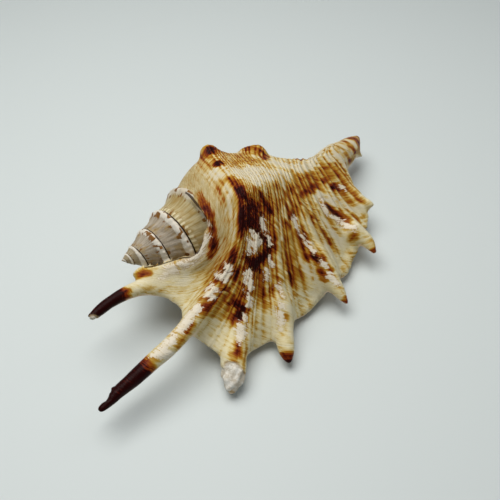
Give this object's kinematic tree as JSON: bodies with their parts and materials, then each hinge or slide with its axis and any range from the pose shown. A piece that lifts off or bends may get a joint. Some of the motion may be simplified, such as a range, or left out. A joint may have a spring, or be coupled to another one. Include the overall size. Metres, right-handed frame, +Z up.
{
  "type": "spider conch shell",
  "caption": "Spider conch shell lying on its aperture side: coiled pointed spire, knobbed body whorl, wide outer lip drawn out into tapering digits, short upturned canal.",
  "frame": {"origin": "centre of the bounding box's bottom, on the surface that the shell rests on", "axes": "+Z up as it lies; +X along the coiling axis from the spire's apex towards the canal; -Y towards the outer lip with its digits"},
  "size_m": [0.1434, 0.0738, 0.0421],
  "materials": {
    "shell": "satin, cream with brown cords and dark brown patches"
  },
  "bodies": {
    "root": {"shell": "shell"}
  },
  "joints": []
}
